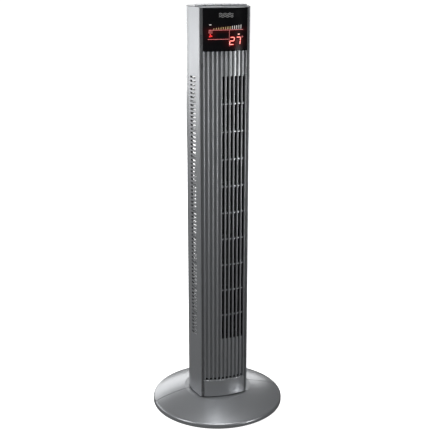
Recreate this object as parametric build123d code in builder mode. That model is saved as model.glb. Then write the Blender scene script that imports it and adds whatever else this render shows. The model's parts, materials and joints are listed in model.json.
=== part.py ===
"""Tower fan: a slim oscillating column with a cross-flow blower, on a round two-piece base.

Units are millimetres. +Z is up, the front of the fan faces -Y, and the origin is on the floor
at the centre of the base, which is also the axis that the tower swings about.
"""

from math import acos, atan2, cos, degrees, hypot, radians, sin, sqrt, tan
import os

from build123d import *

# ---------------------------------------------------------------- driving dimensions

# Base
BASE_R = 182.0            # outer radius of the round base
RIM_Z = 3.0               # underside of the base shell, on its rubber feet
PLATEAU_R = 93.0          # flat top of the base, under the tower
PLATEAU_Z = 42.5
SHELL = 3.0               # wall of the base shell
SEAM = 0.8                # half of the gap between the two base halves
FOOT_R, FOOT_PCD_R, FOOT_COUNT = 8.0, 160.0, 8

# Tower outline
TOWER_Z = 46.0            # lower edge of the tower
BODY_TOP = 1096.0         # upper edge of the housing, under the top cap
CAP_TOP = 1099.0
HALF_FRONT = 66.0         # half width across the two front corners
FRONT_Y = -65.5           # the front corners
BULGE = 11.8              # how far the middle of the front stands out
REAR_R = 80.0             # half-round back, centred on the swing axis
WALL = 2.6

# Front
PANEL_HALF = 57.2         # half width of the grille, apron and display window
STRIP_IN, STRIP_OUT = 57.9, 62.4
PANEL = 3.0               # thickness of the apron and the strips
APRON_TOP = 94.0
DISPLAY_Z = 991.0
RIB_COUNT, RIB_PITCH, RIB_W, RIB_H = 11, 11.0, 4.3, 6.0
FLOOR = 2.2               # panel between the ribs
SECTION, SECTION_COUNT = 71.8, 10
SECTION_TOP = 929.8       # upper end of the grille's open slots
TIE = 3.4                 # bar between two slots of one column
OPEN_COLUMNS = 6          # slot columns, counted from the right
SLOT_W = 6.1

# Side and rear intake slots, seven to a section
VENT_PER_SECTION = 7
VENT_PITCH = SECTION / VENT_PER_SECTION
VENT_TOP, VENT_ROWS = 924.3, 69
VENT_Y = -32.8            # middle of the side slots
VENT_W, VENT_H = 26.4, 5.4
SLAT_DEPTH = 6.4          # the wall is this deep round the side slots
SHELF, SHELF_DEPTH = 1.2, 13.0
REAR_COLUMNS, REAR_STEP = 5, 35.0
REAR_W, REAR_H = 28.0, 8.0

# Keys
KEY_COUNT, KEY_PITCH, KEY_W, KEY_D, KEY_Y = 6, 21.8, 20.2, 25.6, -31.0
KEY_TOP = 1102.5
KEY_NAMES = ("power", "speed", "mode", "timer", "swing", "temperature")

# Blower
WHEEL_X, WHEEL_Y, WHEEL_R = 10.0, 6.0, 33.0
WHEEL_Z0, WHEEL_Z1 = 204.0, 934.0
BLADES, BLADE_T = 28, 1.0
LOWER_PLATE_Z, UPPER_PLATE_Z, PLATE = 196.0, 940.0, 3.0

# Blower motor
MOTOR_Z0, MOTOR_Z1, MOTOR_R = 112.0, 186.0, 42.0
SHAFT_R = 4.0
RUN = 0.06                # radial clearance of a running fit

# Swivel and swing drive
HUB_R, HUB_BORE_R, HUB_Z = 33.0, 27.0, 28.0
TURNTABLE_Z, TURNTABLE_R = 30.0, 60.0
COLLAR_R = 45.6
POST_R, ARM_Z = 7.0, 56.0
SWING_D = 26.0            # crank shaft to swing axis
SWING = 35.0              # the tower turns this many degrees each way
CRANK_R = SWING_D * sin(radians(SWING))
PIN_R = 2.0
GUIDE_W = 10.4            # guide slot

# Screws
SCREW_R, HEAD_R, HEAD_H, SCREW_GAP = 1.6, 3.4, 2.2, 0.1

# ---------------------------------------------------------------- derived sizes


def on_circle(radius, angles, centre=(0.0, 0.0)):
    """Points on a circle at these angles in degrees."""
    return [
        (centre[0] + radius * cos(radians(a)), centre[1] + radius * sin(radians(a))) for a in angles
    ]


FRONT_R = (HALF_FRONT**2 + BULGE**2) / (2 * BULGE)
FRONT_CENTRE_Y = FRONT_Y - BULGE + FRONT_R
BOTTOM_Z = TOWER_Z + 0.5  # underside of the bottom cap
FLOOR_Z = BOTTOM_Z + 3.5  # its upper face
WHEEL_AXIS = (WHEEL_X, WHEEL_Y)
SECTION_MIDS = [SECTION_TOP - SECTION * (n + 0.5) for n in range(SECTION_COUNT)]
VENT_HEIGHTS = [VENT_TOP - n * VENT_PITCH for n in range(VENT_ROWS)]
RIB_XS = [(n - (RIB_COUNT - 1) / 2) * RIB_PITCH for n in range(RIB_COUNT)]
VALLEY_XS = [x + RIB_PITCH / 2 for x in RIB_XS[:-1]]
KEY_XS = [(n - (KEY_COUNT - 1) / 2) * KEY_PITCH for n in range(KEY_COUNT)]
TURNTABLE_SCREWS = on_circle(53.0, range(25, 360, 45))
STANDOFFS = on_circle(52.0, range(0, 360, 90))
RETAINER_SCREWS = on_circle(30.0, (30, 150, 270))
BOTTOM_SCREWS = on_circle(71.5, (0, 60, 120, 180))
MOTOR_MOUNTS = on_circle(48.0, (35, 145, 215, 325), WHEEL_AXIS)
SWING_MOUNTS = [(-36.0, SWING_D), (36.0, SWING_D)]
BOARD_POSTS = [(x, y) for x in (-45.0, 45.0) for y in (-50.5, -11.5)]
DISPLAY_POSTS = [(x, z) for x in (-48.0, 48.0) for z in (1004.0, 1072.0)]
HARNESS_XY = (-48.0, -49.0)
BOARD_X = -52.0           # upright power board
CORD_Z = 64.0             # cord inlet


def save(builder, label):
    """Label a finished piece and write it to its own file."""
    builder.part.label = label
    export_step(builder.part, f"parts/{label}.step")


def on_front(x, inset=0.0):
    """Point of the front arc at x, moved inwards by inset."""
    return (x, FRONT_CENTRE_Y - sqrt((FRONT_R - inset) ** 2 - x**2))


def front_band(x0, x1, t0, t1):
    """Face between the front arc inset by t0 and by t1, from x0 to x1."""
    middle = (x0 + x1) / 2
    with BuildLine() as outline:
        outer = ThreePointArc(on_front(x0, t0), on_front(middle, t0), on_front(x1, t0))
        inner = ThreePointArc(on_front(x1, t1), on_front(middle, t1), on_front(x0, t1))
        Line(outer @ 1, inner @ 0)
        Line(inner @ 1, outer @ 0)
    make_face(outline.edges())


def side_points(inset):
    """Front corner and rear tangent point of the right side wall, moved inwards by inset."""
    reach = hypot(HALF_FRONT, FRONT_Y)
    tangent = atan2(FRONT_Y, HALF_FRONT) + acos(REAR_R / reach)
    corner = (HALF_FRONT - inset / cos(tangent), FRONT_Y)
    radius = REAR_R - inset
    return corner, (radius * cos(tangent), radius * sin(tangent)), radius


def facing_plane(x, y, angle):
    """Upright plane through (x, y) that faces outwards at this angle, with its y axis upwards."""
    a = radians(angle)
    return Plane(origin=(x, y, 0), x_dir=(-sin(a), cos(a), 0), z_dir=(cos(a), sin(a), 0))


def radial_plane(angle):
    """Upright plane through the swing axis, with its x axis pointing outwards at this angle."""
    a = radians(angle)
    return Plane(origin=(0, 0, 0), x_dir=(cos(a), sin(a), 0), z_dir=(sin(a), -cos(a), 0))


def mirrored(point):
    return (-point[0], point[1])


def tower_face(inset=0.0):
    """Whole plan outline of the tower, moved inwards by inset."""
    corner, tangent, radius = side_points(0.0)
    with BuildLine() as outline:
        Line(corner, tangent)
        ThreePointArc(tangent, (0, radius), mirrored(tangent))
        Line(mirrored(tangent), mirrored(corner))
        ThreePointArc(mirrored(corner), (0, FRONT_Y - BULGE), corner)
    make_face(outline.edges())
    if inset:
        offset(amount=-inset, kind=Kind.INTERSECTION)


def screws(points, head_z, length, up=True):
    """Pan-head screws at points: the heads' seating faces are at head_z, the shanks run up or down."""
    turn = 1 if up else -1
    with BuildPart() as group:
        with BuildSketch(Plane.XY.offset(head_z)):
            with Locations(*points):
                Circle(HEAD_R)
        extrude(amount=-turn * HEAD_H)
        with BuildSketch(Plane.XY.offset(head_z)):
            with Locations(*points):
                Circle(SCREW_R)
        extrude(amount=turn * length)
        with BuildSketch(Plane.XY.offset(head_z - turn * HEAD_H)):
            with Locations(*points):
                RectangleRounded(3.6, 0.9, 0.4)
                RectangleRounded(0.9, 3.6, 0.4)
        extrude(amount=turn * 1.2, mode=Mode.SUBTRACT)
    return group


def drill(points, z0, z1, radius=SCREW_R + SCREW_GAP):
    """Cut round holes at points from z0 to z1 out of the part being built."""
    with BuildSketch(Plane.XY.offset(z0)) as holes:
        with Locations(*points):
            Circle(radius)
    extrude(holes.sketch, amount=z1 - z0, mode=Mode.SUBTRACT)


def ring(centre, outer_r, inner_r, z0, z1):
    """Add a plain ring from z0 to z1 to the part being built."""
    with BuildSketch(Plane.XY.offset(z0)) as section:
        with Locations(centre):
            Circle(outer_r)
            if inner_r:
                Circle(inner_r, mode=Mode.SUBTRACT)
    extrude(section.sketch, amount=z1 - z0)


os.makedirs("parts", exist_ok=True)

# ---------------------------------------------------------------- base

DOME_MID, DOME_END = (136.0, 31.9), (176.5, 16.6)
RIM_MID, RIM_END = (180.6, 14.3), (BASE_R, 10.5)


def base_half(front):
    """Half of the dished base: a shell with a flat top, a rolled rim, ribs, foot pads and screw bosses."""
    side = 1 if front else -1
    with BuildPart() as half:
        with BuildSketch(Plane.XZ):
            with BuildLine():
                top = Line((COLLAR_R + 0.4, PLATEAU_Z), (PLATEAU_R, PLATEAU_Z))
                ThreePointArc(top @ 1, DOME_MID, DOME_END)
                ThreePointArc(DOME_END, RIM_MID, RIM_END)
                Polyline(RIM_END, (BASE_R, RIM_Z), (BASE_R - SHELL, RIM_Z), (BASE_R - SHELL, 10.2))
                Line((BASE_R - SHELL, 10.2), (175.4, 13.4))
                ThreePointArc((175.4, 13.4), (135.3, 28.8), (PLATEAU_R, PLATEAU_Z - SHELL))
                Line((PLATEAU_R, PLATEAU_Z - SHELL), (COLLAR_R + 0.4, PLATEAU_Z - SHELL))
                Line((COLLAR_R + 0.4, PLATEAU_Z - SHELL), top @ 0)
            make_face()
        revolve(axis=Axis.Z, revolution_arc=360)
        for angle in range(15, 180, 30):
            with BuildSketch(radial_plane(angle)):
                with BuildLine():
                    Polyline((66, 41), (66, 30), (120, 12), (174, 9), (174, 14.4), (136, 30), (94, 41), (66, 41))
                make_face()
                mirror(about=Plane.YZ)
            extrude(amount=1.1, both=True)
        with BuildSketch(Plane.XY.offset(RIM_Z)):
            with PolarLocations(FOOT_PCD_R, FOOT_COUNT, start_angle=22.5):
                Circle(FOOT_R + 1.2)
        extrude(amount=15.0)
        with BuildSketch(Plane.XY.offset(TURNTABLE_Z + 4.0)):
            with Locations(*TURNTABLE_SCREWS):
                Circle(4.4)
        extrude(amount=PLATEAU_Z - 1.0 - TURNTABLE_Z - 4.0)
        drill(TURNTABLE_SCREWS, TURNTABLE_Z + 4.0, PLATEAU_Z - 1.2)
        with Locations((0, side * (BASE_R - SEAM), 0)):
            Box(3 * BASE_R, 2 * BASE_R, 200, mode=Mode.SUBTRACT)
        if not front:
            with Locations((BASE_R - 1.5, SEAM + 2.0, RIM_Z + 10), (SEAM - BASE_R + 1.5, SEAM + 2.0, RIM_Z + 10)):
                Box(6.0, 4.0, 5.0, mode=Mode.SUBTRACT)
    return half


save(base_half(True), "base_front_half")
save(base_half(False), "base_rear_half")

with BuildPart() as base_feet:
    with BuildSketch():
        with PolarLocations(FOOT_PCD_R, FOOT_COUNT, start_angle=22.5):
            Circle(FOOT_R)
    extrude(amount=RIM_Z)
    chamfer(base_feet.edges().group_by(Axis.Z)[0], 0.6)
save(base_feet, "base_feet")

with BuildPart() as turntable_plate:
    ring((0, 0), TURNTABLE_R, HUB_R + RUN, TURNTABLE_Z, TURNTABLE_Z + 4.0)
    ring((0, 0), COLLAR_R, HUB_R + RUN, TURNTABLE_Z + 4.0, PLATEAU_Z)
    drill(TURNTABLE_SCREWS, TURNTABLE_Z, TURNTABLE_Z + 4.0)
    drill(STANDOFFS, TURNTABLE_Z, TURNTABLE_Z + 4.0)
save(turntable_plate, "turntable_plate")

with BuildPart() as slide_ring:
    ring((0, 0), COLLAR_R, 37.0, PLATEAU_Z, BOTTOM_Z - 0.1)
    fillet(slide_ring.edges().group_by(Axis.Z)[-1], 0.6)
save(slide_ring, "slide_ring")

PEDESTAL_Z = 16.0
with BuildPart() as base_screws:
    add(screws(TURNTABLE_SCREWS, TURNTABLE_Z, 11.0))
    add(screws(STANDOFFS, PEDESTAL_Z, 17.0))
    add(screws([(0, 0)], ARM_Z + 4.0, 14.0, up=False))
save(base_screws, "base_screws")

with BuildPart() as pedestal_plate:
    ring((0, 0), 58.0, 0, PEDESTAL_Z, PEDESTAL_Z + 3.0)
    with BuildSketch(Plane.XY.offset(PEDESTAL_Z + 3.0)):
        with Locations(*STANDOFFS):
            Circle(4.5)
    extrude(amount=TURNTABLE_Z - PEDESTAL_Z - 3.0)
    ring((0, 0), 12.0, 0, PEDESTAL_Z + 3.0, PEDESTAL_Z + 6.0)
    ring((0, 0), POST_R, 0, PEDESTAL_Z + 6.0, ARM_Z)
    drill(STANDOFFS, PEDESTAL_Z, TURNTABLE_Z)
    drill([(0, 0)], ARM_Z - 12.0, ARM_Z)
save(pedestal_plate, "pedestal_plate")

with BuildPart() as guide_arm:
    with BuildSketch(Plane.XY.offset(ARM_Z)):
        with Locations((0, 19.5)):
            SlotCenterToCenter(39.0, 18.0, rotation=90)
    extrude(amount=4.0)
    with BuildSketch(Plane.XY.offset(ARM_Z)):
        with Locations((0, 26.2)):
            SlotOverall(34.8, GUIDE_W, rotation=90)
    extrude(amount=4.0, mode=Mode.SUBTRACT)
    drill([(0, 0)], ARM_Z, ARM_Z + 4.0)
save(guide_arm, "guide_arm")

# ---------------------------------------------------------------- tower shell

with BuildPart() as rear_housing:
    with BuildSketch(Plane.XY.offset(TOWER_Z)) as wall:
        with BuildLine():
            corner, tangent, radius = side_points(0.0)
            corner_in, tangent_in, radius_in = side_points(WALL)
            Polyline(tangent, corner, corner_in, tangent_in)
            ThreePointArc(tangent_in, (0, radius_in), mirrored(tangent_in))
            Polyline(mirrored(tangent_in), mirrored(corner_in), mirrored(corner), mirrored(tangent))
            ThreePointArc(mirrored(tangent), (0, radius), tangent)
        make_face()
        fillet(wall.vertices().group_by(Axis.Y)[0].sort_by(Axis.X)[0::3], 1.9)
    extrude(amount=BODY_TOP - TOWER_Z)
    with BuildSketch(Plane.XY.offset(FLOOR_Z)):
        with Locations(*BOTTOM_SCREWS):
            Circle(6.2)
    extrude(amount=18.0)
    drill(BOTTOM_SCREWS, FLOOR_Z, FLOOR_Z + 13.0)
    corner, tangent, _ = side_points(0.0)
    flare = degrees(atan2(tangent[1] - corner[1], tangent[0] - corner[0]))
    middle = (corner[0] + (VENT_Y - corner[1]) / tan(radians(flare)), VENT_Y)
    for (x, y), facing in ((middle, flare - 90), (mirrored(middle), 270 - flare)):
        skin = facing_plane(x, y, facing)
        with BuildSketch(skin.offset(-WALL / 2)):
            with Locations((0, (VENT_HEIGHTS[0] + VENT_HEIGHTS[-1]) / 2)):
                Rectangle(VENT_W + 5.0, VENT_HEIGHTS[0] - VENT_HEIGHTS[-1] + VENT_H + 5.0)
        extrude(amount=WALL / 2 - SLAT_DEPTH)
        with BuildSketch(skin):
            with Locations(*[(0, z) for z in VENT_HEIGHTS]):
                Rectangle(VENT_W, VENT_H)
        extrude(amount=SLAT_DEPTH + 2.0, both=True, mode=Mode.SUBTRACT)
        with BuildSketch(skin.offset(-WALL / 2)):
            with Locations(*[(0, z - 0.6) for z in VENT_HEIGHTS[6::7]]):
                Rectangle(VENT_W + 4.0, SHELF)
        extrude(amount=WALL / 2 - SHELF_DEPTH)
    for n in range(REAR_COLUMNS):
        angle = 90 + (n - (REAR_COLUMNS - 1) / 2) * REAR_STEP
        with BuildSketch(facing_plane(*on_circle(REAR_R, [angle])[0], angle)):
            with Locations(*[(0, z) for z in VENT_HEIGHTS]):
                Rectangle(REAR_W, REAR_H)
        extrude(amount=6.0, both=True, mode=Mode.SUBTRACT)
    with Locations((0, REAR_R, 975.0)):
        Box(100.8, 44.0, 38.8, mode=Mode.SUBTRACT)
    with BuildSketch(Plane.XZ.offset(-REAR_R - 4)):
        with Locations((0, CORD_Z)):
            Circle(7.1)
    extrude(amount=20, mode=Mode.SUBTRACT)
SHELL_LENGTHS = (("rear_housing_foot", 0.0, 100.0), ("rear_housing", 100.0, 940.0),
                 ("rear_housing_head", 940.0, BODY_TOP))
for length_name, low, high in SHELL_LENGTHS:
    with BuildPart() as shell_length:
        add(rear_housing.part)
        with BuildSketch(Plane.XY.offset(low)):
            Rectangle(400.0, 400.0)
        extrude(amount=high - low, mode=Mode.INTERSECT)
    save(shell_length, length_name)

with BuildPart() as handle_cup:
    with BuildSketch(Plane.XZ.offset(-82)):
        with Locations((0, 975.0)):
            RectangleRounded(100.0, 38.0, 7.0)
    extrude(amount=36.0)
    with BuildSketch(Plane.XY.offset(950.0)):
        Circle(REAR_R)
    extrude(amount=50.0, mode=Mode.INTERSECT)
    with BuildSketch(Plane.XZ.offset(-82)):
        with Locations((0, 975.0)):
            RectangleRounded(94.6, 32.6, 5.0)
    extrude(amount=33.4, mode=Mode.SUBTRACT)
save(handle_cup, "handle_cup")

with BuildPart() as cord_grommet:
    with BuildSketch(Plane.XZ.offset(-REAR_R + 0.4)):
        with Locations((0, CORD_Z)):
            Circle(7.0)
            Circle(3.8, mode=Mode.SUBTRACT)
    extrude(amount=8.0)
    with BuildSketch(Plane.XZ.offset(0.7 - REAR_R + WALL)):
        with Locations((0, CORD_Z)):
            Circle(9.0)
            Circle(3.8, mode=Mode.SUBTRACT)
    extrude(amount=3.0)
save(cord_grommet, "cord_grommet")

with BuildPart() as bottom_cap:
    with BuildSketch(Plane.XY.offset(BOTTOM_Z)):
        tower_face(WALL + 1.0)
        Circle(24.0, mode=Mode.SUBTRACT)
    extrude(amount=FLOOR_Z - BOTTOM_Z)
    ring((0, 0), HUB_R, HUB_BORE_R, HUB_Z, FLOOR_Z)
    with BuildSketch(Plane.XY.offset(FLOOR_Z)):
        with Locations(*SWING_MOUNTS):
            Circle(4.0)
    extrude(amount=18.0)
    with BuildSketch(Plane.XY.offset(FLOOR_Z)):
        with Locations((BOARD_X - 1.2, 8.0), (BOARD_X + 2.8, 8.0)):
            Rectangle(2.0, 56.0)
    extrude(amount=5.0)
    drill(SWING_MOUNTS, FLOOR_Z + 4, FLOOR_Z + 18.0)
    drill(BOTTOM_SCREWS, BOTTOM_Z, FLOOR_Z)
    drill(RETAINER_SCREWS, HUB_Z, HUB_Z + 12.0, radius=1.3)
save(bottom_cap, "bottom_cap")

SWING_MOTOR_Z = FLOOR_Z + 18.0
with BuildPart() as floor_screws:
    add(screws(BOTTOM_SCREWS, BOTTOM_Z, 14.0))
    add(screws(SWING_MOUNTS, SWING_MOTOR_Z + 1.5, 12.0, up=False))
save(floor_screws, "floor_screws")

with BuildPart() as swivel_retainer:
    ring((0, 0), 42.0, 20.0, HUB_Z - 3.5, HUB_Z)
    drill(RETAINER_SCREWS, HUB_Z - 3.5, HUB_Z, radius=1.3)
save(swivel_retainer, "swivel_retainer")

with BuildPart() as slide_washer:
    ring((0, 0), 41.0, HUB_R + 0.3, HUB_Z, TURNTABLE_Z - 0.1)
save(slide_washer, "slide_washer")

with BuildPart() as front_frame:
    for side in (-1, 1):
        with BuildSketch(Plane.XY.offset(TOWER_Z)) as strip:
            front_band(*sorted((side * STRIP_IN, side * STRIP_OUT)), 0.5, PANEL + 0.4)
            fillet(strip.vertices().group_by(Axis.Y)[0], 1.1)
        extrude(amount=BODY_TOP - TOWER_Z)
        with BuildSketch(Plane.XY.offset(FLOOR_Z + 0.6)):
            with Locations((side * (STRIP_IN + 1.0), -61.3)):
                Rectangle(2.0, 14.0)
        extrude(amount=BODY_TOP - 8.6 - FLOOR_Z)
    with BuildSketch(Plane.XZ.offset(54.3)):
        with Locations(*[(0, z) for z in (57.0, 108.0, 962.0, 1004.0, 1072.0)]):
            Rectangle(2 * STRIP_IN + 2, 10.0)
    extrude(amount=2.7)
    with BuildSketch(Plane.XZ.offset(57.0)):
        with Locations(*DISPLAY_POSTS):
            Circle(3.6)
    extrude(amount=3.4)
    with BuildSketch(Plane.XZ.offset(54.3)):
        with Locations(*DISPLAY_POSTS):
            Circle(SCREW_R + SCREW_GAP)
    extrude(amount=6.1, mode=Mode.SUBTRACT)
save(front_frame, "front_frame")

GRILLE_Z0, GRILLE_Z1 = APRON_TOP + 0.4, DISPLAY_Z - 0.6
with BuildPart() as front_grille:
    with BuildSketch(Plane.XY.offset(GRILLE_Z0 + 5.0)):
        front_band(-PANEL_HALF, PANEL_HALF, RIB_H, RIB_H + FLOOR)
    extrude(amount=GRILLE_Z1 - GRILLE_Z0 - 5.0)
    with BuildSketch(Plane.XY.offset(GRILLE_Z0)) as ribs:
        for x in RIB_XS:
            front = on_front(x)[1]
            with Locations((x, front + (RIB_H + FLOOR) / 2)):
                Rectangle(RIB_W, RIB_H + FLOOR - 0.4)
        noses = [v for x in RIB_XS for v in ribs.vertices().filter_by(
            lambda v, x=x: abs(v.X - x) < RIB_W and v.Y < on_front(x)[1] + 1.0)]
        fillet(noses, 2.1)
    extrude(amount=GRILLE_Z1 - GRILLE_Z0)
    with BuildSketch(Plane.XZ):
        with Locations(*[(x, z) for x in VALLEY_XS[-OPEN_COLUMNS:] for z in SECTION_MIDS]):
            Rectangle(SLOT_W, SECTION - TIE)
    extrude(amount=100.0, mode=Mode.SUBTRACT)
save(front_grille, "front_grille")

with BuildPart() as front_apron:
    with BuildSketch(Plane.XY.offset(TOWER_Z)):
        front_band(-PANEL_HALF, PANEL_HALF, 0.0, PANEL)
    extrude(amount=APRON_TOP - TOWER_Z)
    with BuildSketch(Plane.XY.offset(APRON_TOP - 2.6)):
        front_band(-PANEL_HALF, PANEL_HALF, 1.0, RIB_H + FLOOR)
    extrude(amount=2.6)
    fillet(front_apron.edges().filter_by(GeomType.CIRCLE).group_by(Axis.Z)[-1].sort_by(Axis.Y)[0], 0.9)
save(front_apron, "front_apron")

with BuildPart() as display_window:
    with BuildSketch(Plane.XY.offset(DISPLAY_Z)) as pane:
        front_band(-PANEL_HALF, PANEL_HALF, 0.0, 2.4)
        fillet(pane.vertices().group_by(Axis.Y)[0], 0.8)
    extrude(amount=BODY_TOP - DISPLAY_Z)
save(display_window, "display_window")

with BuildPart() as top_cap:
    with BuildSketch(Plane.XY.offset(BODY_TOP)):
        tower_face()
    extrude(amount=CAP_TOP - BODY_TOP)
    fillet(top_cap.edges().group_by(Axis.Z)[-1], 1.4)
    with BuildSketch(Plane.XY.offset(BODY_TOP - 8.0)):
        tower_face(WALL + 0.4)
        offset(amount=-2.0, kind=Kind.INTERSECTION, mode=Mode.SUBTRACT)
        with Locations((0, -70)):
            Rectangle(200, 18, mode=Mode.SUBTRACT)
    extrude(amount=8.0)
    with BuildSketch(Plane.XY.offset(BODY_TOP - 10.4)):
        with Locations(*BOARD_POSTS):
            Circle(3.2)
    extrude(amount=10.4)
    with BuildSketch(Plane.XY.offset(BODY_TOP)):
        with Locations((0, KEY_Y)):
            RectangleRounded(KEY_COUNT * KEY_PITCH + 0.6, KEY_D + 1.2, 2.6)
    extrude(amount=20.0, mode=Mode.SUBTRACT)
    drill(BOARD_POSTS, BODY_TOP - 10.4, BODY_TOP - 1.0)
save(top_cap, "top_cap")

for name, x in zip(KEY_NAMES, KEY_XS):
    with BuildPart() as key:
        with BuildSketch(Plane.XY.offset(BODY_TOP - 0.5)):
            with Locations((x, KEY_Y)):
                RectangleRounded(KEY_W, KEY_D, 2.2)
        extrude(amount=KEY_TOP - BODY_TOP + 0.5)
        fillet(key.edges().group_by(Axis.Z)[-1], 1.6)
        with BuildSketch(Plane.XY.offset(BODY_TOP - 2.3)):
            with Locations((x, KEY_Y)):
                Rectangle(KEY_PITCH - 0.6, KEY_D + 3.4)
        extrude(amount=1.8)
        ring((x, KEY_Y), 2.4, 0, BODY_TOP - 4.2, BODY_TOP - 2.3)
    save(key, f"{name}_key")

# ---------------------------------------------------------------- electronics

BOARD_Z = BODY_TOP - 12.0
with BuildPart() as control_board:
    with BuildSketch(Plane.XY.offset(BOARD_Z)):
        with Locations((0, KEY_Y)):
            RectangleRounded(124.0, 46.0, 2.0)
    extrude(amount=1.6)
    drill(BOARD_POSTS, BOARD_Z, BOARD_Z + 1.6)
save(control_board, "control_board")

with BuildPart() as tact_switches:
    with BuildSketch(Plane.XY.offset(BOARD_Z + 1.6)):
        with Locations(*[(x, KEY_Y) for x in KEY_XS]):
            RectangleRounded(6.0, 6.0, 0.5)
    extrude(amount=3.5)
    with BuildSketch(Plane.XY.offset(BOARD_Z + 5.1)):
        with Locations(*[(x, KEY_Y) for x in KEY_XS]):
            Circle(1.7)
    extrude(amount=1.2)
save(tact_switches, "tact_switches")

DISPLAY_Y = 60.4
with BuildPart() as display_board:
    with BuildSketch(Plane.XZ.offset(DISPLAY_Y)):
        with Locations((0, 1037.0)):
            RectangleRounded(108.0, 82.0, 2.0)
    extrude(amount=1.6)
    with BuildSketch(Plane.XZ.offset(DISPLAY_Y)):
        with Locations(*DISPLAY_POSTS):
            Circle(SCREW_R + SCREW_GAP)
    extrude(amount=1.6, mode=Mode.SUBTRACT)
save(display_board, "display_board")

with BuildPart() as small_screws:
    for x, y in RETAINER_SCREWS:
        ring((x, y), 3.0, 0, HUB_Z - 5.3, HUB_Z - 3.5)
        ring((x, y), 1.2, 0, HUB_Z - 3.5, HUB_Z + 10.0)
    add(screws(BOARD_POSTS, BOARD_Z, 9.0))
    with BuildSketch(Plane.XZ.offset(DISPLAY_Y + 1.6)):
        with Locations(*DISPLAY_POSTS):
            Circle(HEAD_R)
    extrude(amount=HEAD_H)
    with BuildSketch(Plane.XZ.offset(DISPLAY_Y - 4.0)):
        with Locations(*DISPLAY_POSTS):
            Circle(SCREW_R)
    extrude(amount=5.6)
save(small_screws, "small_screws")


def led_block(x0, x1, z0, z1, depth):
    """Light guide block standing on the front of the display board."""
    with BuildPart() as block:
        with BuildSketch(Plane.XZ.offset(DISPLAY_Y + 1.6)):
            with Locations(((x0 + x1) / 2, (z0 + z1) / 2)):
                RectangleRounded(x1 - x0, z1 - z0, 1.0)
        extrude(amount=depth)
    return block


save(led_block(4.0, 42.0, 1002.0, 1030.0, 7.2), "led_digits")
save(led_block(-38.0, 44.0, 1041.0, 1057.0, 6.8), "led_speed_bar")
save(led_block(-46.5, -30.0, 1022.0, 1038.5, 5.6), "led_symbols")

with BuildPart() as ir_receiver:
    with BuildSketch(Plane.XZ.offset(DISPLAY_Y + 1.6)):
        with Locations((30.0, 1068.0)):
            Rectangle(6.0, 7.0)
    extrude(amount=2.6)
    with Locations((30.0, -DISPLAY_Y - 4.2, 1068.0)):
        Sphere(2.4)
save(ir_receiver, "ir_receiver")

with BuildPart() as ribbon_cable:
    with BuildSketch(Plane.YZ.offset(-32.0)):
        with BuildLine():
            Polyline((-DISPLAY_Y, 1062.0), (-53.0, 1062.0), (-53.0, BOARD_Z))
        trace(line_width=0.9)
    extrude(amount=24.0)
    with BuildSketch(Plane.XZ.offset(DISPLAY_Y)):
        with Locations((-20.0, 1064.0)):
            Rectangle(200, 100)
    extrude(amount=4.0, mode=Mode.SUBTRACT)
save(ribbon_cable, "ribbon_cable")

# ---------------------------------------------------------------- blower case

CASE_Z, CASE_H = LOWER_PLATE_Z + PLATE, UPPER_PLATE_Z - LOWER_PLATE_Z - PLATE
with BuildPart() as scroll_wall:
    with BuildSketch(Plane.XY.offset(CASE_Z)):
        with BuildLine():
            scroll = ThreePointArc((-2.7, 41.4), (51.6, 22.0), (58.2, -29.0))
            Line(scroll @ 1, (56.2, -59.0))
        trace(line_width=2.0)
        with Locations(scroll @ 0, scroll @ 1):
            Circle(1.4)
    extrude(amount=CASE_H)
save(scroll_wall, "scroll_wall")

with BuildPart() as vortex_wall:
    with BuildSketch(Plane.XY.offset(CASE_Z)):
        with BuildLine():
            bend = ThreePointArc((-25.0, -9.0), (-20.5, -20.5), (-13.5, -31.0))
            Line(bend @ 1, (-9.5, -67.6))
        trace(line_width=2.0)
        with Locations(bend @ 0, bend @ 1):
            Circle(1.4)
    extrude(amount=CASE_H)
save(vortex_wall, "vortex_wall")

for label, z, bore in (("lower_plate", LOWER_PLATE_Z, 20.0), ("upper_plate", UPPER_PLATE_Z, 11.0)):
    with BuildPart() as plate:
        with BuildSketch(Plane.XY.offset(z)):
            tower_face(WALL + 1.4)
            with Locations((0, FRONT_CENTRE_Y)):
                Circle(FRONT_R - RIB_H - FLOOR - 0.5, mode=Mode.INTERSECT)
            for side in (-1, 1):
                with Locations((side * (STRIP_IN + 1.0), -60)):
                    Rectangle(4.0, 14.0, mode=Mode.SUBTRACT)
            with Locations(WHEEL_AXIS):
                Circle(bore, mode=Mode.SUBTRACT)
            with Locations(HARNESS_XY):
                Circle(5.0, mode=Mode.SUBTRACT)
        extrude(amount=PLATE)
        if label == "lower_plate":
            drill(MOTOR_MOUNTS, z, z + PLATE)
    save(plate, label)

# ---------------------------------------------------------------- blower wheel and its bearings

with BuildPart() as impeller:
    blade = CenterArc((0, 7.0), 7.0, 236, 66)
    with BuildSketch(Plane.XY.offset(WHEEL_Z0)):
        with Locations(WHEEL_AXIS):
            with PolarLocations(WHEEL_R - 4.6, BLADES):
                SlotArc(blade, BLADE_T, rotation=25)
    extrude(amount=WHEEL_Z1 - WHEEL_Z0)
    step = (WHEEL_Z1 - WHEEL_Z0 - 2.0) / SECTION_COUNT
    for n in range(SECTION_COUNT + 1):
        inner = 0 if n in (0, SECTION_COUNT) else WHEEL_R - 10.0
        ring(WHEEL_AXIS, WHEEL_R, inner, WHEEL_Z0 + n * step, WHEEL_Z0 + n * step + 2.0)
    ring(WHEEL_AXIS, 9.0, 0, WHEEL_Z0 - 3.0, WHEEL_Z0 + 14.0)
    ring(WHEEL_AXIS, 8.0, 0, WHEEL_Z1 - 12.0, WHEEL_Z1 + 1.5)
    drill([WHEEL_AXIS], WHEEL_Z0 - 3.0, WHEEL_Z0 + 12.0, radius=SHAFT_R)
    drill([WHEEL_AXIS], WHEEL_Z1 - 10.0, WHEEL_Z1 + 1.5, radius=3.0)
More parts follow.
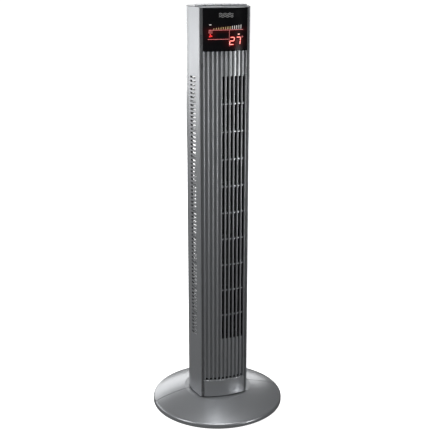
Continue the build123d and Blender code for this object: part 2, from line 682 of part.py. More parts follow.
save(impeller, "impeller")

with BuildPart() as motor_shaft:
    ring(WHEEL_AXIS, SHAFT_R, 0, MOTOR_Z0 - 6.0, WHEEL_Z0 + 12.0)
    chamfer(motor_shaft.edges().group_by(Axis.Z)[0], 0.6)
save(motor_shaft, "motor_shaft")

with BuildPart() as stub_shaft:
    ring(WHEEL_AXIS, 3.0, 0, WHEEL_Z1 - 10.0, WHEEL_Z1 + 15.0)
    chamfer(stub_shaft.edges().group_by(Axis.Z)[-1], 0.5)
save(stub_shaft, "stub_shaft")

with BuildPart() as upper_bush:
    ring(WHEEL_AXIS, 6.0, 3.0 + RUN, UPPER_PLATE_Z - 3.0, UPPER_PLATE_Z + 8.0)
save(upper_bush, "upper_bush")

with BuildPart() as bearing_rubber:
    ring(WHEEL_AXIS, 10.9, 6.0, UPPER_PLATE_Z, UPPER_PLATE_Z + PLATE)
    ring(WHEEL_AXIS, 13.5, 6.0, UPPER_PLATE_Z + PLATE, UPPER_PLATE_Z + PLATE + 3.0)
    ring(WHEEL_AXIS, 13.5, 6.0, UPPER_PLATE_Z - 2.4, UPPER_PLATE_Z)
save(bearing_rubber, "bearing_rubber")

# ---------------------------------------------------------------- blower motor

MOTOR_MID = (MOTOR_Z0 + MOTOR_Z1) / 2
BUSH_R = 8.0


def motor_shell(z_end, z_open):
    """Deep-drawn half of the motor case: a can closed at z_end, with a seat for its bush."""
    low, high = sorted((z_end, z_open))
    inward = 1 if z_open > z_end else -1
    with BuildPart() as can:
        ring(WHEEL_AXIS, MOTOR_R, 0, low, high)
        fillet(can.faces().sort_by(Axis.Z)[0 if inward > 0 else -1].edges(), 4.0)
        with BuildSketch(Plane.XY.offset(z_end + inward * 2.0)):
            with Locations(WHEEL_AXIS):
                Circle(MOTOR_R - 2.0)
                Circle(BUSH_R + 2.5, mode=Mode.SUBTRACT)
        extrude(amount=inward * 60.0, mode=Mode.SUBTRACT)
        with BuildSketch(Plane.XY.offset(z_end + inward * 8.0)):
            with Locations(WHEEL_AXIS):
                Circle(BUSH_R + 4.0)
        extrude(amount=inward * 60.0, mode=Mode.SUBTRACT)
        with BuildSketch(Plane.XY.offset(z_end)):
            with Locations(WHEEL_AXIS):
                Circle(BUSH_R)
        extrude(amount=inward * 60.0, mode=Mode.SUBTRACT)
    return can


save(motor_shell(MOTOR_Z0, MOTOR_MID), "motor_lower_shell")

upper_shell = motor_shell(MOTOR_Z1, MOTOR_MID)
with BuildPart() as motor_upper_shell:
    add(upper_shell)
    with BuildSketch(Plane.XY.offset(MOTOR_Z1 - 8.0)):
        with Locations(*MOTOR_MOUNTS):
            Circle(6.5)
        with Locations(WHEEL_AXIS):
            Circle(MOTOR_R + 2.5)
            Circle(MOTOR_R - 1.0, mode=Mode.SUBTRACT)
    extrude(amount=2.4)
    drill(MOTOR_MOUNTS, MOTOR_Z1 - 8.0, MOTOR_Z1)
save(motor_upper_shell, "motor_upper_shell")

with BuildPart() as motor_bushes:
    for z in (MOTOR_Z0, MOTOR_Z1 - 8.0):
        ring(WHEEL_AXIS, BUSH_R, SHAFT_R + RUN, z, z + 8.0)
save(motor_bushes, "motor_bushes")

with BuildPart() as motor_stator:
    with BuildSketch(Plane.XY.offset(MOTOR_MID - 14.0)):
        with Locations(WHEEL_AXIS):
            Circle(MOTOR_R - 2.2)
            Circle(26.0, mode=Mode.SUBTRACT)
            with PolarLocations(30.5, 16):
                Rectangle(7.0, 5.0, mode=Mode.SUBTRACT)
    extrude(amount=28.0)
save(motor_stator, "motor_stator")

with BuildPart() as motor_windings:
    for z in (MOTOR_MID - 26.0, MOTOR_MID + 14.0):
        with BuildSketch(Plane.XY.offset(z)):
            with Locations(WHEEL_AXIS):
                Circle(36.0)
                Circle(27.0, mode=Mode.SUBTRACT)
        extrude(amount=12.0)
    with BuildSketch(Plane.XY.offset(MOTOR_MID - 14.0)):
        with Locations(WHEEL_AXIS):
            with PolarLocations(30.5, 16):
                Rectangle(6.8, 4.8)
    extrude(amount=28.0)
save(motor_windings, "motor_windings")

with BuildPart() as motor_rotor:
    ring(WHEEL_AXIS, 25.6, SHAFT_R, MOTOR_MID - 15.0, MOTOR_MID + 15.0)
    chamfer(motor_rotor.edges().group_by(Axis.Z)[-1], 0.6)
save(motor_rotor, "motor_rotor")

with BuildPart() as motor_rubbers:
    for point in MOTOR_MOUNTS:
        ring(point, 6.0, 2.0, MOTOR_Z1 - 5.6, LOWER_PLATE_Z)
save(motor_rubbers, "motor_rubbers")

save(screws(MOTOR_MOUNTS, MOTOR_Z1 - 8.0, 20.5), "motor_screws")

# ---------------------------------------------------------------- swing drive

with BuildPart() as crank:
    ring((0, SWING_D), 19.0, 0, ARM_Z + 5.0, ARM_Z + 8.0)
    ring((0, SWING_D), 5.0, 0, ARM_Z + 8.0, ARM_Z + 9.4)
    ring((0, SWING_D), 2.5, 0, ARM_Z + 9.4, ARM_Z + 20.0)
    ring((0, SWING_D + CRANK_R), PIN_R, 0, ARM_Z + 0.6, ARM_Z + 5.0)
save(crank, "swing_crank")

with BuildPart() as swing_motor:
    ring((0, SWING_D), 24.5, 0, SWING_MOTOR_Z, SWING_MOTOR_Z + 16.0)
    fillet(swing_motor.edges().group_by(Axis.Z)[-1], 1.5)
    ring((0, SWING_D), 7.0, 0, SWING_MOTOR_Z - 2.2, SWING_MOTOR_Z)
    with BuildSketch(Plane.XY.offset(SWING_MOTOR_Z)):
        with Locations((0, SWING_D)):
            SlotOverall(82.0, 10.0)
    extrude(amount=1.5)
    drill([(0, SWING_D)], SWING_MOTOR_Z - 2.2, ARM_Z + 20.4, radius=2.5 + RUN)
    drill(SWING_MOUNTS, SWING_MOTOR_Z, SWING_MOTOR_Z + 1.5)
save(swing_motor, "swing_motor")

# ---------------------------------------------------------------- power electronics and wiring

with BuildPart() as main_board:
    with BuildSketch(Plane.YZ.offset(BOARD_X)):
        with Locations((8.0, (FLOOR_Z + 174.0) / 2)):
            RectangleRounded(64.0, 174.0 - FLOOR_Z, 2.0)
    extrude(amount=1.6)
save(main_board, "main_board")

with BuildPart() as board_parts:
    with BuildSketch(Plane.YZ.offset(BOARD_X + 1.6)):
        with Locations((-12.0, 160.0), (6.0, 160.0)):
            Rectangle(12.0, 18.0)
        with Locations((28.0, 152.0)):
            Rectangle(18.0, 30.0)
    extrude(amount=11.0)
    with BuildSketch(Plane.YZ.offset(BOARD_X + 1.6)):
        with Locations((8.0, 94.0)):
            Rectangle(40.0, 10.0)
        with Locations((-14.0, 120.0)):
            Rectangle(20.0, 12.0)
    extrude(amount=9.0)
save(board_parts, "board_parts")

with BuildPart() as run_capacitor:
    with BuildSketch(Plane.XY.offset(FLOOR_Z)):
        with Locations((48.0, -28.0)):
            RectangleRounded(18.0, 34.0, 3.0)
    extrude(amount=46.0)
    fillet(run_capacitor.edges().group_by(Axis.Z)[-1], 1.5)
save(run_capacitor, "run_capacitor")

with BuildPart() as wire_harness:
    x, y = HARNESS_XY
    with BuildLine() as route:
        FilletPolyline((x, -24.4, 120.0), (x, y, 120.0), (x, y, 1070.0), (-34.0, -36.0, 1070.0),
                       (-34.0, -36.0, BOARD_Z), radius=7.0)
    with BuildSketch(Plane(origin=route.line @ 0, z_dir=route.line % 0)):
        Circle(2.5)
    sweep()
save(wire_harness, "wire_harness")
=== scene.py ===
"""Looks of the tower fan: materials, display graphics, key symbols, floor, lights and camera."""

import json
from math import atan2, cos, pi, radians, sin, sqrt

import bmesh
import bpy
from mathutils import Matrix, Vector


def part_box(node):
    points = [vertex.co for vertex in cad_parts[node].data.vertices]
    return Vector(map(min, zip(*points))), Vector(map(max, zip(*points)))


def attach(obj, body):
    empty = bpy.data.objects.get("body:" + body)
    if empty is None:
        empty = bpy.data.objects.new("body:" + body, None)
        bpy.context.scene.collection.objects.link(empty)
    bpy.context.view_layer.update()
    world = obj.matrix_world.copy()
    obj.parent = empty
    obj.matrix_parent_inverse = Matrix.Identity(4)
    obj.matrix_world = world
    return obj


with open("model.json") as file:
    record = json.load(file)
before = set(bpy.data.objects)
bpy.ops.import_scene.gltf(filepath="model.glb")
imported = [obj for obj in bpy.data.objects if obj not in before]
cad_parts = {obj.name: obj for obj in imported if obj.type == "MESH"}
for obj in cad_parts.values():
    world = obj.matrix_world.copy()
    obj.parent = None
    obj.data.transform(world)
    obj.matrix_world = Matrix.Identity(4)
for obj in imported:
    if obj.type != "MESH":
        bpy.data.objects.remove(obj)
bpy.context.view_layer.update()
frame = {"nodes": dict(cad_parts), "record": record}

scene = bpy.context.scene
MM = 0.001
EULER = 2.718

# ---------------------------------------------------------------- material helpers


class Shader:
    """A node material, built up from a Principled shader."""

    def __init__(self, name):
        self.material = bpy.data.materials.new(name)
        self.material.use_nodes = True
        self.nodes = self.material.node_tree.nodes
        self.links = self.material.node_tree.links
        self.nodes.clear()
        self.output = self.nodes.new("ShaderNodeOutputMaterial")
        self.main = self.nodes.new("ShaderNodeBsdfPrincipled")
        self.links.new(self.main.outputs[0], self.output.inputs[0])
        self.coords = self.nodes.new("ShaderNodeTexCoord").outputs["Object"]

    def set(self, **values):
        for key, value in values.items():
            self.main.inputs[key.replace("_", " ").title().replace("Ior", "IOR")].default_value = value
        return self

    def link(self, source, target):
        self.links.new(source, target)

    def noise(self, scale, detail=2.0, roughness=0.5, stretch=None):
        """Noise in object space, with its pattern drawn out along an axis by stretch."""
        node = self.nodes.new("ShaderNodeTexNoise")
        node.inputs["Scale"].default_value = scale
        node.inputs["Detail"].default_value = detail
        node.inputs["Roughness"].default_value = roughness
        source = self.coords
        if stretch:
            mapping = self.nodes.new("ShaderNodeMapping")
            mapping.inputs["Scale"].default_value = stretch
            self.link(source, mapping.inputs["Vector"])
            source = mapping.outputs["Vector"]
        self.link(source, node.inputs["Vector"])
        return node.outputs["Fac"]

    def ramp(self, source, *stops):
        """Colour ramp through (position, colour) stops."""
        node = self.nodes.new("ShaderNodeValToRGB")
        elements = node.color_ramp.elements
        while len(elements) < len(stops):
            elements.new(0.5)
        for element, (position, colour) in zip(elements, stops):
            element.position = position
            element.color = (*colour, 1.0) if len(colour) == 3 else colour
        self.link(source, node.inputs["Fac"])
        return node.outputs["Color"]

    def span(self, source, low, high, out_low=0.0, out_high=1.0):
        """A value mapped from low..high to out_low..out_high, clamped."""
        node = self.nodes.new("ShaderNodeMapRange")
        limits = {"From Min": low, "From Max": high, "To Min": out_low, "To Max": out_high}
        for key, value in limits.items():
            node.inputs[key].default_value = value
        self.link(source, node.inputs["Value"])
        return node.outputs["Result"]

    def math(self, operation, a, b=None):
        node = self.nodes.new("ShaderNodeMath")
        node.operation = operation
        for socket, value in zip(node.inputs, (a, b)):
            if value is None:
                continue
            if isinstance(value, (int, float)):
                socket.default_value = value
            else:
                self.link(value, socket)
        return node.outputs[0]

    def mix(self, factor, a, b):
        """Colour a where factor is 0 and b where it is 1; each is a colour or a socket."""
        node = self.nodes.new("ShaderNodeMix")
        node.data_type = "RGBA"
        self.link(factor, node.inputs["Factor"])
        for socket, value in ((node.inputs[6], a), (node.inputs[7], b)):
            if isinstance(value, tuple):
                socket.default_value = (*value, 1.0)
            else:
                self.link(value, socket)
        return node.outputs[2]

    def bump(self, height, strength, distance=0.0002, previous=None):
        node = self.nodes.new("ShaderNodeBump")
        node.inputs["Strength"].default_value = strength
        node.inputs["Distance"].default_value = distance
        self.link(height, node.inputs["Height"])
        if previous is not None:
            self.link(previous, node.inputs["Normal"])
        self.link(node.outputs[0], self.main.inputs["Normal"])
        return node.outputs[0]

    def colour(self, source):
        self.link(source, self.main.inputs["Base Color"])

    def rough(self, source):
        self.link(source, self.main.inputs["Roughness"])


LACQUER_TINT = 0.03


def grey(value, tint=0.0):
    """A grey, a little cooler for a positive tint."""
    return (value * (1 - tint), value, value * (1 + 1.5 * tint))


# ---------------------------------------------------------------- materials


def silver_lacquer(name, level, roughness=0.34, metallic=0.6, shaded_inside=None):
    """Sprayed metallic lacquer: fine flakes, slight orange peel and a thin clear coat.

    The last argument names where the unpainted moulding shows inside the tower, drawn near black
    as painted shade: "inwards" for faces that look towards the middle of the tower, "back" for
    faces that look backwards.
    """
    shader = Shader(name).set(metallic=metallic, coat_weight=0.25, coat_roughness=0.16)
    flakes = shader.noise(5200.0, 1.0)
    cloud = shader.noise(9.0, 2.0)
    dark, light = grey(level * 0.90, LACQUER_TINT), grey(level * 1.10, LACQUER_TINT)
    lacquer = shader.mix(shader.span(flakes, 0.35, 0.65), dark, light)
    lacquer = shader.mix(shader.span(cloud, 0.3, 0.7, 0.0, 0.10), lacquer, grey(level * 0.82, LACQUER_TINT))
    roughness_out = shader.span(cloud, 0.3, 0.7, roughness - 0.02, roughness + 0.03)
    shader.bump(shader.noise(700.0, 1.0), 0.05, 0.0001)
    if shaded_inside:
        geometry = shader.nodes.new("ShaderNodeNewGeometry")
        if shaded_inside == "inwards":
            flat = shader.nodes.new("ShaderNodeVectorMath")
            flat.operation = "MULTIPLY"
            flat.inputs[1].default_value = (1.0, 1.0, 0.0)
            shader.link(shader.coords, flat.inputs[0])
            facing = shader.nodes.new("ShaderNodeVectorMath")
            facing.operation = "DOT_PRODUCT"
            shader.link(flat.outputs[0], facing.inputs[0])
            shader.link(geometry.outputs["Normal"], facing.inputs[1])
            inside_shade_mask = shader.span(facing.outputs["Value"], -0.012, -0.004, 1.0, 0.0)
        else:
            split = shader.nodes.new("ShaderNodeSeparateXYZ")
            shader.link(geometry.outputs["Normal"], split.inputs[0])
            inside_shade_mask = shader.span(split.outputs["Y"], 0.25, 0.4)
        # Faces inside the tower drawn near black: the unpainted moulding, darkened further as painted
        # shade.
        lacquer = shader.mix(inside_shade_mask, lacquer, (0.018, 0.018, 0.019))
        roughness_out = shader.math("ADD", roughness_out, shader.math("MULTIPLY", inside_shade_mask, 0.3))
        painted = shader.math("SUBTRACT", 1.0, inside_shade_mask)
        shader.link(shader.math("MULTIPLY", painted, metallic), shader.main.inputs["Metallic"])
    shader.colour(lacquer)
    shader.rough(roughness_out)
    return shader.material


def moulded(name, colour, roughness=0.5, grain=0.12, scale=1800.0, spread=0.12, **extra):
    """Moulded plastic or rubber with a fine spark-eroded grain and slight tone variation."""
    shader = Shader(name).set(**extra)
    cloud = shader.noise(14.0, 3.0)
    fine = shader.noise(scale, 2.0)
    shader.colour(shader.mix(shader.span(cloud, 0.3, 0.7), tuple(c * (1 - spread) for c in colour),
                             tuple(c * (1 + spread) for c in colour)))
    shader.rough(shader.span(fine, 0.3, 0.7, roughness - 0.05, roughness + 0.06))
    shader.bump(fine, grain, 0.0001)
    return shader.material


def metal(name, colour, roughness=0.3, stretch=(1.0, 1.0, 12.0), spread=0.15):
    """Bare or plated metal, with marks drawn out along the way it was worked."""
    shader = Shader(name).set(metallic=1.0)
    marks = shader.noise(420.0, 3.0, 0.6, stretch)
    cloud = shader.noise(30.0, 2.0)
    shader.colour(shader.mix(shader.span(cloud, 0.3, 0.7), tuple(c * (1 - spread) for c in colour),
                             tuple(min(1.0, c * (1 + spread)) for c in colour)))
    shader.rough(shader.span(marks, 0.3, 0.7, roughness - 0.08, roughness + 0.12))
    shader.bump(marks, 0.08, 0.0001)
    return shader.material


def winding(name):
    """Enamelled wire, wound in fine turns."""
    shader = Shader(name).set(metallic=1.0, coat_weight=0.6, coat_roughness=0.2)
    wave = shader.nodes.new("ShaderNodeTexWave")
    wave.bands_direction = "Z"
    wave.inputs["Scale"].default_value = 420.0
    wave.inputs["Distortion"].default_value = 2.5
    wave.inputs["Detail Scale"].default_value = 3.0
    shader.link(shader.coords, wave.inputs["Vector"])
    shader.colour(shader.ramp(wave.outputs["Fac"], (0.0, (0.16, 0.05, 0.02)), (0.6, (0.62, 0.27, 0.11))))
    shader.set(roughness=0.33)
    shader.bump(wave.outputs["Fac"], 0.5, 0.0003)
    return shader.material


def laminations(name):
    """Stack of thin electrical steel sheets, seen edge on."""
    shader = Shader(name).set(metallic=1.0, roughness=0.45)
    wave = shader.nodes.new("ShaderNodeTexWave")
    wave.bands_direction = "Z"
    wave.inputs["Scale"].default_value = 320.0
    shader.link(shader.coords, wave.inputs["Vector"])
    shader.colour(shader.ramp(wave.outputs["Fac"], (0.0, (0.05, 0.05, 0.055)), (0.5, (0.30, 0.30, 0.31))))
    shader.bump(wave.outputs["Fac"], 0.35, 0.0002)
    return shader.material


def circuit_board(name, colour, trace):
    """Coated board with a faint pattern of tracks under the lacquer."""
    shader = Shader(name).set(coat_weight=0.4, coat_roughness=0.2)
    tracks = shader.nodes.new("ShaderNodeTexVoronoi")
    tracks.feature = "DISTANCE_TO_EDGE"
    tracks.distance = "MANHATTAN"
    tracks.inputs["Scale"].default_value = 160.0
    shader.link(shader.coords, tracks.inputs["Vector"])
    shader.colour(shader.ramp(tracks.outputs["Distance"], (0.0, trace), (0.09, trace), (0.13, colour)))
    shader.rough(shader.span(shader.noise(60.0), 0.3, 0.7, 0.32, 0.45))
    return shader.material


def smoked_window(name, glow_at):
    """Black polished pane, with a painted red glow round the lit parts behind it."""
    shader = Shader(name).set(coat_weight=0.0, specular_ior_level=0.08)
    shader.rough(shader.span(shader.noise(40.0, 3.0), 0.3, 0.7, 0.10, 0.16))
    shader.colour(shader.mix(shader.noise(22.0), (0.0035, 0.0035, 0.0042), (0.0065, 0.0065, 0.0075)))
    split = shader.nodes.new("ShaderNodeSeparateXYZ")
    shader.link(shader.coords, split.inputs[0])
    total = None
    # Painted glow: red emission on the pane, fading out round each lit part.
    for x, z, half_x, half_z, strength in glow_at:
        across = shader.math("DIVIDE", shader.math("SUBTRACT", split.outputs["X"], x), half_x)
        up = shader.math("DIVIDE", shader.math("SUBTRACT", split.outputs["Z"], z), half_z)
        reach = shader.math("ADD", shader.math("MULTIPLY", across, across), shader.math("MULTIPLY", up, up))
        falloff = shader.math("POWER", EULER, shader.math("MULTIPLY", reach, -1.0))
        painted_glow = shader.math("MULTIPLY", falloff, strength)
        total = painted_glow if total is None else shader.math("ADD", total, painted_glow)
    shader.link(shader.mix(shader.math("MINIMUM", total, 1.0), (0.0, 0.0, 0.0), (0.55, 0.008, 0.006)),
                shader.main.inputs["Emission Color"])
    shader.set(emission_strength=1.0)
    return shader.material


def lit(name, edge, core, strength):
    """Lit mark of a display: slightly uneven, brighter in the middle of each die."""
    shader = Shader(name).set(roughness=0.4, emission_strength=strength)
    source = shader.span(shader.noise(420.0, 1.0), 0.35, 0.65)
    colour = shader.mix(source, edge, core)
    shader.colour(colour)
    shader.link(colour, shader.main.inputs["Emission Color"])
    return shader.material


def printed(name, level):
    """Screen-printed ink."""
    shader = Shader(name).set(roughness=0.45)
    shader.colour(shader.mix(shader.noise(900.0, 1.0), grey(level * 0.85), grey(level)))
    return shader.material


# Painted red glow in the pane: x, z, half width, half height in metres, and strength
GLOWS = (
    (0.0235, 1.0155, 0.019, 0.013, 0.12),   # round the digits
    (-0.0385, 1.033, 0.011, 0.012, 0.07),   # round the fan symbol
    (0.004, 1.043, 0.045, 0.006, 0.07),     # along the upper line
)
SLOT_MATERIALS = {
    # Inner faces of the shell drawn near black as painted shade.
    "silver_shell": silver_lacquer("silver_shell", 0.36, 0.36, shaded_inside="inwards"),
    "silver_plastic": silver_lacquer("silver_plastic", 0.36, 0.32),
    "dark_trim": silver_lacquer("dark_trim", 0.13, 0.28, 0.3),
    # Back faces of the grille drawn near black as painted shade.
    "silver_grille": silver_lacquer("silver_grille", 0.34, 0.34, shaded_inside="back"),
    "window": smoked_window("window", GLOWS),
    "key_plastic": silver_lacquer("key_plastic", 0.38, 0.32),
    "inner_plastic": moulded("inner_plastic", (0.022, 0.022, 0.024), 0.55),
    "blade_plastic": moulded("blade_plastic", (0.016, 0.016, 0.018), 0.5),
    "slide_plastic": moulded("slide_plastic", (0.78, 0.77, 0.72), 0.35, spread=0.04, subsurface_weight=0.1),
    "rubber": moulded("rubber", (0.018, 0.018, 0.018), 0.75, grain=0.3, scale=900.0),
    "zinc_steel": metal("zinc_steel", (0.62, 0.62, 0.58), 0.28),
    "motor_steel": metal("motor_steel", (0.52, 0.52, 0.52), 0.3),
    "lamination": laminations("lamination"),
    "copper": winding("copper"),
    "bronze": metal("bronze", (0.60, 0.42, 0.18), 0.4, (1.0, 1.0, 1.0)),
    "cast_weight": moulded("cast_weight", (0.03, 0.03, 0.03), 0.6, grain=0.6, scale=500.0, metallic=0.3),
    "board": circuit_board("board", (0.010, 0.10, 0.035), (0.02, 0.17, 0.06)),
    "board_phenolic": circuit_board("board_phenolic", (0.26, 0.14, 0.05), (0.33, 0.19, 0.08)),
    "component_black": moulded("component_black", (0.02, 0.02, 0.022), 0.4),
    "light_guide": moulded("light_guide", (0.5, 0.05, 0.04), 0.3, subsurface_weight=0.2),
    "light_guide_white": moulded("light_guide_white", (0.7, 0.7, 0.66), 0.3, spread=0.04,
                                 subsurface_weight=0.2),
    "ribbon": moulded("ribbon", (0.42, 0.43, 0.45), 0.45, spread=0.05),
    "sleeve": moulded("sleeve", (0.02, 0.02, 0.024), 0.6, grain=0.5, scale=1200.0),
}
for part in frame["record"]["subparts"]:
    for material_slot in frame["nodes"][part["node"]].material_slots:
        material_slot.material = SLOT_MATERIALS[part["material_slot"]]

# ---------------------------------------------------------------- display graphics

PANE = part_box("display_window")
PANE_FRONT = PANE[0][1]
HALF_CORNERS, BULGE = 66.0 * MM, 11.8 * MM
FRONT_R = (HALF_CORNERS**2 + BULGE**2) / (2 * BULGE)


def on_pane(x, z, proud):
    """Point on the curved pane at x and z, standing proud of it."""
    centre = PANE_FRONT + FRONT_R
    reach = FRONT_R + proud
    return Vector((x * reach / FRONT_R, centre - sqrt(reach**2 - x**2), z))


def on_key(x, y, proud):
    """Point on the flat top of the keys at x and y, standing proud of it."""
    return Vector((x, y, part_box("power_key")[1][2] + proud))


def stroke_outline(start, end, width, steps=6):
    """Outline of a round-ended stroke in the plane, anticlockwise."""
    turn = atan2(end[1] - start[1], end[0] - start[0])
    points = []
    for (x, y), first in ((end, turn - pi / 2), (start, turn + pi / 2)):
        for n in range(steps + 1):
            a = first + pi * n / steps
            points.append((x + width / 2 * cos(a), y + width / 2 * sin(a)))
    return points


def ring_points(centre, radius, start=0.0, end=360.0, steps=24):
    """Points along an arc, angles in degrees."""
    return [
        (centre[0] + radius * cos(radians(start + (end - start) * n / steps)),
         centre[1] + radius * sin(radians(start + (end - start) * n / steps)))
        for n in range(steps + 1)
    ]


def path_strokes(points, width):
    """A polyline as round-ended strokes, one for each run."""
    return [(a, b, width) for a, b in zip(points, points[1:])]


def marks(name, strokes, material, place, body, slot, proud=0.00012, deep=0.0004):
    """Thin closed marks, one for each (start, end, width) stroke in mm, laid on a surface by place."""
    mesh = bmesh.new()
    for start, end, width in strokes:
        outline = [(x * MM, y * MM) for x, y in stroke_outline(start, end, width)]
        front = [mesh.verts.new(place(x, y, proud)) for x, y in outline]
        back = [mesh.verts.new(place(x, y, -deep)) for x, y in outline]
        count = len(outline)
        mesh.faces.new(front)
        mesh.faces.new(back[::-1])
        for n in range(count):
            mesh.faces.new((front[n], back[n], back[(n + 1) % count], front[(n + 1) % count]))
    bmesh.ops.recalc_face_normals(mesh, faces=mesh.faces)
    data = bpy.data.meshes.new(name)
    mesh.to_mesh(data)
    mesh.free()
    piece = bpy.data.objects.new(name, data)
    bpy.context.collection.objects.link(piece)
    data.materials.append(material)
    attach(piece, body)
    return piece


RED = lit("lit_red", (0.95, 0.02, 0.03), (1.0, 0.06, 0.04), 1.1)
PINK = lit("lit_core", (1.0, 0.34, 0.26), (1.0, 0.66, 0.58), 1.15)
DIM_RED = lit("lit_line", (0.50, 0.10, 0.11), (0.66, 0.20, 0.19), 0.75)
AMBER = lit("lit_amber", (0.42, 0.28, 0.10), (0.62, 0.50, 0.26), 0.75)
PALE = lit("lit_pale", (0.55, 0.52, 0.50), (0.75, 0.72, 0.70), 0.7)
PRINT = printed("pane_print", 0.34)

SEGMENTS = {"a": ((0, 2), (1, 2)), "b": ((1, 2), (1, 1)), "c": ((1, 1), (1, 0)), "d": ((0, 0), (1, 0)),
            "e": ((0, 0), (0, 1)), "f": ((0, 1), (0, 2)), "g": ((0, 1), (1, 1))}
DIGITS = {"2": "abged", "7": "abc"}
DIGIT_W, DIGIT_H, SLANT = 11.0, 17.5, 0.11


def digit_strokes(character, left, bottom, width):
    """Seven-segment digit, leaning a little, as strokes in mm."""
    strokes = []
    for name in DIGITS[character]:
        ends = []
        for column, row in SEGMENTS[name]:
            rise = row * DIGIT_H / 2
            ends.append(Vector((left + column * DIGIT_W + SLANT * rise, bottom + rise)))
        along = (ends[1] - ends[0]).normalized() * 1.5
        strokes.append((tuple(ends[0] + along), tuple(ends[1] - along), width))
    return strokes


def long_line(start, end, width, steps=12):
    """Straight line in short strokes, so that it follows the curve of the pane."""
    points = [Vector(start).lerp(Vector(end), n / steps) for n in range(steps + 1)]
    return path_strokes([tuple(point) for point in points], width)


digits = digit_strokes("2", 8.6, 1007.0, 2.5) + digit_strokes("7", 25.4, 1007.0, 2.5)
marks("display_digits", digits, RED, on_pane, "tower", "light_guide")
cores = [(start, end, 1.2) for start, end, _ in digits]
marks("display_digit_cores", cores, PINK, on_pane, "tower", "light_guide", 0.0002)
degree = path_strokes(ring_points((43.2, 1025.2), 1.5, steps=12), 0.8)
marks("display_degree", degree, DIM_RED, on_pane, "tower", "light_guide")
marks("display_dot", [((31.6, 1031.6), (35.0, 1031.8), 2.2)], PINK, on_pane, "tower", "light_guide")
lines = long_line((-43.0, 1042.8), (45.0, 1042.8), 1.0) + long_line((-45.0, 1020.4), (6.0, 1020.4), 1.1)
lines += long_line((8.0, 1042.0), (8.0, 1003.0), 0.7)
marks("display_lines", lines, DIM_RED, on_pane, "tower", "light_guide")
TICKS = 13
ticks = []
for n in range(TICKS):
    share = n / (TICKS - 1)
    x = -31.0 + 70.0 * share
    ticks.append(((x, 1045.0), (x + 0.4, 1046.6 + 7.5 * share**0.9), 1.2))
marks("display_bar", ticks[:8], AMBER, on_pane, "tower", "light_guide_white")
marks("display_bar_high", ticks[8:], PALE, on_pane, "tower", "light_guide_white")
dash = [((-41.2, 1055.6), (-37.4, 1055.6), 1.6)]
marks("display_dash", dash, PALE, on_pane, "tower", "light_guide_white")

FAN_CENTRE = (-39.0, 1029.0)
blades = []
for n in range(3):
    a = radians(90 + 120 * n)
    tip = (FAN_CENTRE[0] + 4.2 * cos(a), FAN_CENTRE[1] + 4.2 * sin(a))
    heel = (FAN_CENTRE[0] + 3.2 * cos(a + 0.75), FAN_CENTRE[1] + 3.2 * sin(a + 0.75))
    blades += [(FAN_CENTRE, tip, 0.9), (tip, heel, 0.9), (heel, FAN_CENTRE, 0.7)]
marks("display_fan_symbol", blades, RED, on_pane, "tower", "light_guide")
level_lines = [((-44.0, z), (-34.5, z), 0.8) for z in (1035.6, 1038.0, 1040.4)]
marks("display_level_lines", level_lines, DIM_RED, on_pane, "tower", "light_guide")

waves = []
for row in range(3):
    wave = [(-18.0 + 36.0 * n / 36, 1074.5 + 3.8 * row + 1.2 * sin(2 * pi * n / 12)) for n in range(37)]
    waves += path_strokes(wave, 1.2)
marks("pane_air_symbol", waves, PRINT, on_pane, "tower", "window")

# ---------------------------------------------------------------- key symbols

INK = printed("key_print", 0.05)


def key_centre(key):
    low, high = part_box(key)
    return ((low[0] + high[0]) / 2 / MM, (low[1] + high[1]) / 2 / MM)


def symbol(key, x, y):
    """Generic line symbol for a key, as strokes about x and y in mm."""
    if key == "power_key":
        return path_strokes(ring_points((x, y), 3.6, 125, 415), 0.7) + [((x, y + 1.0), (x, y + 4.6), 0.7)]
    if key == "speed_key":
        bars = [x - 4.0 + 2.7 * n for n in range(4)]
        return [((bar, y - 3.0), (bar, y - 1.6 + 1.6 * n), 0.9) for n, bar in enumerate(bars)]
    if key == "mode_key":
        wavy = []
        for row in (-2.4, 0.0, 2.4):
            wave = [(x - 4 + 8 * n / 16, y + row + 0.8 * sin(2 * pi * n / 8)) for n in range(17)]
            wavy += path_strokes(wave, 0.6)
        return wavy
    if key == "timer_key":
        hands = [((x, y), (x, y + 2.5), 0.6), ((x, y), (x + 1.8, y), 0.6)]
        return path_strokes(ring_points((x, y), 3.8), 0.7) + hands
    if key == "swing_key":
        sweep = ring_points((x, y - 3.4), 6.2, 40, 140)
        heads = []
        for end, inner in ((sweep[0], -1), (sweep[-1], 1)):
            heads.append((end, (end[0] + inner * 2.0, end[1] + 0.5), 0.6))
            heads.append((end, (end[0] - inner * 0.1, end[1] + 2.0), 0.6))
        return path_strokes(sweep, 0.6) + heads + [((x, y - 3.4), (x, y + 0.6), 0.7)]
    bulb = path_strokes(ring_points((x, y - 2.6), 1.7), 0.6)
    stem = [((x - 0.9, y - 1.2), (x - 0.9, y + 3.4), 0.6), ((x + 0.9, y - 1.2), (x + 0.9, y + 3.4), 0.6)]
    return bulb + stem + path_strokes(ring_points((x, y + 3.4), 0.9, 0, 180, 8), 0.6)


for key in ("power_key", "speed_key", "mode_key", "timer_key", "swing_key", "temperature_key"):
    marks(f"{key}_symbol", symbol(key, *key_centre(key)), INK, on_key, key, "key_plastic", 0.00004, 0.0002)

# ---------------------------------------------------------------- floor, lights and camera


def floor():
    """Pale seamless floor."""
    bpy.ops.mesh.primitive_plane_add(size=60.0, location=(0, 0, 0))
    plane = bpy.context.object
    plane.name = "floor"
    shader = Shader("floor_paint")
    shader.colour(shader.mix(shader.noise(3.0), (0.93, 0.93, 0.93), (0.95, 0.95, 0.95)))
    shader.set(roughness=0.85, specular_ior_level=0.0)
    shader.set(emission_color=(1.0, 1.0, 1.0, 1.0), emission_strength=1.0)
    plane.data.materials.append(shader.material)
    plane.visible_diffuse = plane.visible_glossy = False


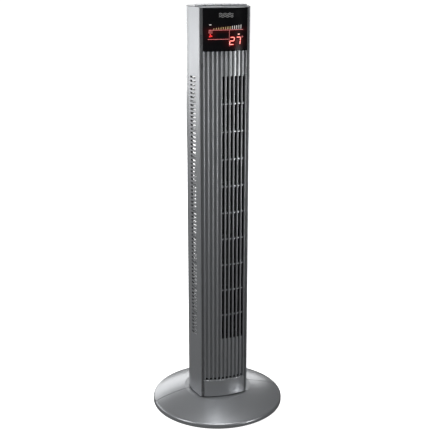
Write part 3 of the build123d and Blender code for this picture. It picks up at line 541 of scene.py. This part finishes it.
def softbox(name, at, towards, width, height, power):
    """Rectangular white lamp that the camera can't see; places in metres, power in watts."""
    light = bpy.data.lights.new(name, "AREA")
    light.shape = "RECTANGLE"
    light.size, light.size_y = width, height
    light.energy = power
    lamp = bpy.data.objects.new(name, light)
    lamp.location = at
    lamp.visible_camera = False
    lamp.rotation_euler = (Vector(towards) - Vector(at)).to_track_quat("-Z", "Y").to_euler()
    bpy.context.collection.objects.link(lamp)
    return lamp


def studio_world(level, backdrop):
    """White backdrop for the camera, and an even dim room for everything else."""
    world = bpy.data.worlds.new("studio")
    scene.world = world
    world.use_nodes = True
    nodes, links = world.node_tree.nodes, world.node_tree.links
    nodes.clear()
    output = nodes.new("ShaderNodeOutputWorld")
    mix = nodes.new("ShaderNodeMixShader")
    room, white = nodes.new("ShaderNodeBackground"), nodes.new("ShaderNodeBackground")
    white.inputs[0].default_value = (backdrop, backdrop, backdrop, 1.0)
    coords = nodes.new("ShaderNodeTexCoord")
    split = nodes.new("ShaderNodeSeparateXYZ")
    links.new(coords.outputs["Generated"], split.inputs[0])
    across = nodes.new("ShaderNodeMapRange")
    for key, value in (("From Min", -1.0), ("From Max", 1.0), ("To Min", level[0]), ("To Max", level[1])):
        across.inputs[key].default_value = value
    links.new(split.outputs["X"], across.inputs["Value"])
    links.new(across.outputs[0], room.inputs[1])
    path = nodes.new("ShaderNodeLightPath")
    links.new(path.outputs["Is Camera Ray"], mix.inputs[0])
    links.new(room.outputs[0], mix.inputs[1])
    links.new(white.outputs[0], mix.inputs[2])
    links.new(mix.outputs[0], output.inputs[0])
    room.inputs[0].default_value = (1.0, 1.0, 1.0, 1.0)


floor()
studio_world((0.19, 0.03), 1.0)
softbox("left_box", (-1.6, -0.45, 1.15), (0, 0, 0.8), 0.45, 1.3, 13.0)
softbox("side_box", (-1.45, 1.35, 0.80), (0, 0, 0.8), 0.9, 0.6, 5.5)
softbox("front_right_box", (1.75, -2.3, 0.25), (0, 0, 0.55), 0.5, 0.8, 31.0)
softbox("rear_wall_box", (0.3, 3.4, 0.95), (0, 0, 0.0), 3.6, 1.3, 38.0)
softbox("top_box", (-0.1, -0.6, 2.8), (0, 0, 0.0), 1.2, 1.2, 38.0)

CAMERA_AT = Vector((-0.6505, -2.2095, 1.2303))
LOOK = Vector((0.26923, 0.91968, -0.28585))
camera = bpy.data.cameras.new("camera")
camera.lens, camera.sensor_width = 74.2, 36.0
viewer = bpy.data.objects.new("camera", camera)
viewer.location = CAMERA_AT
viewer.rotation_euler = LOOK.to_track_quat("-Z", "Y").to_euler()
bpy.context.collection.objects.link(viewer)
scene.camera = viewer
scene.view_settings.view_transform = "Standard"
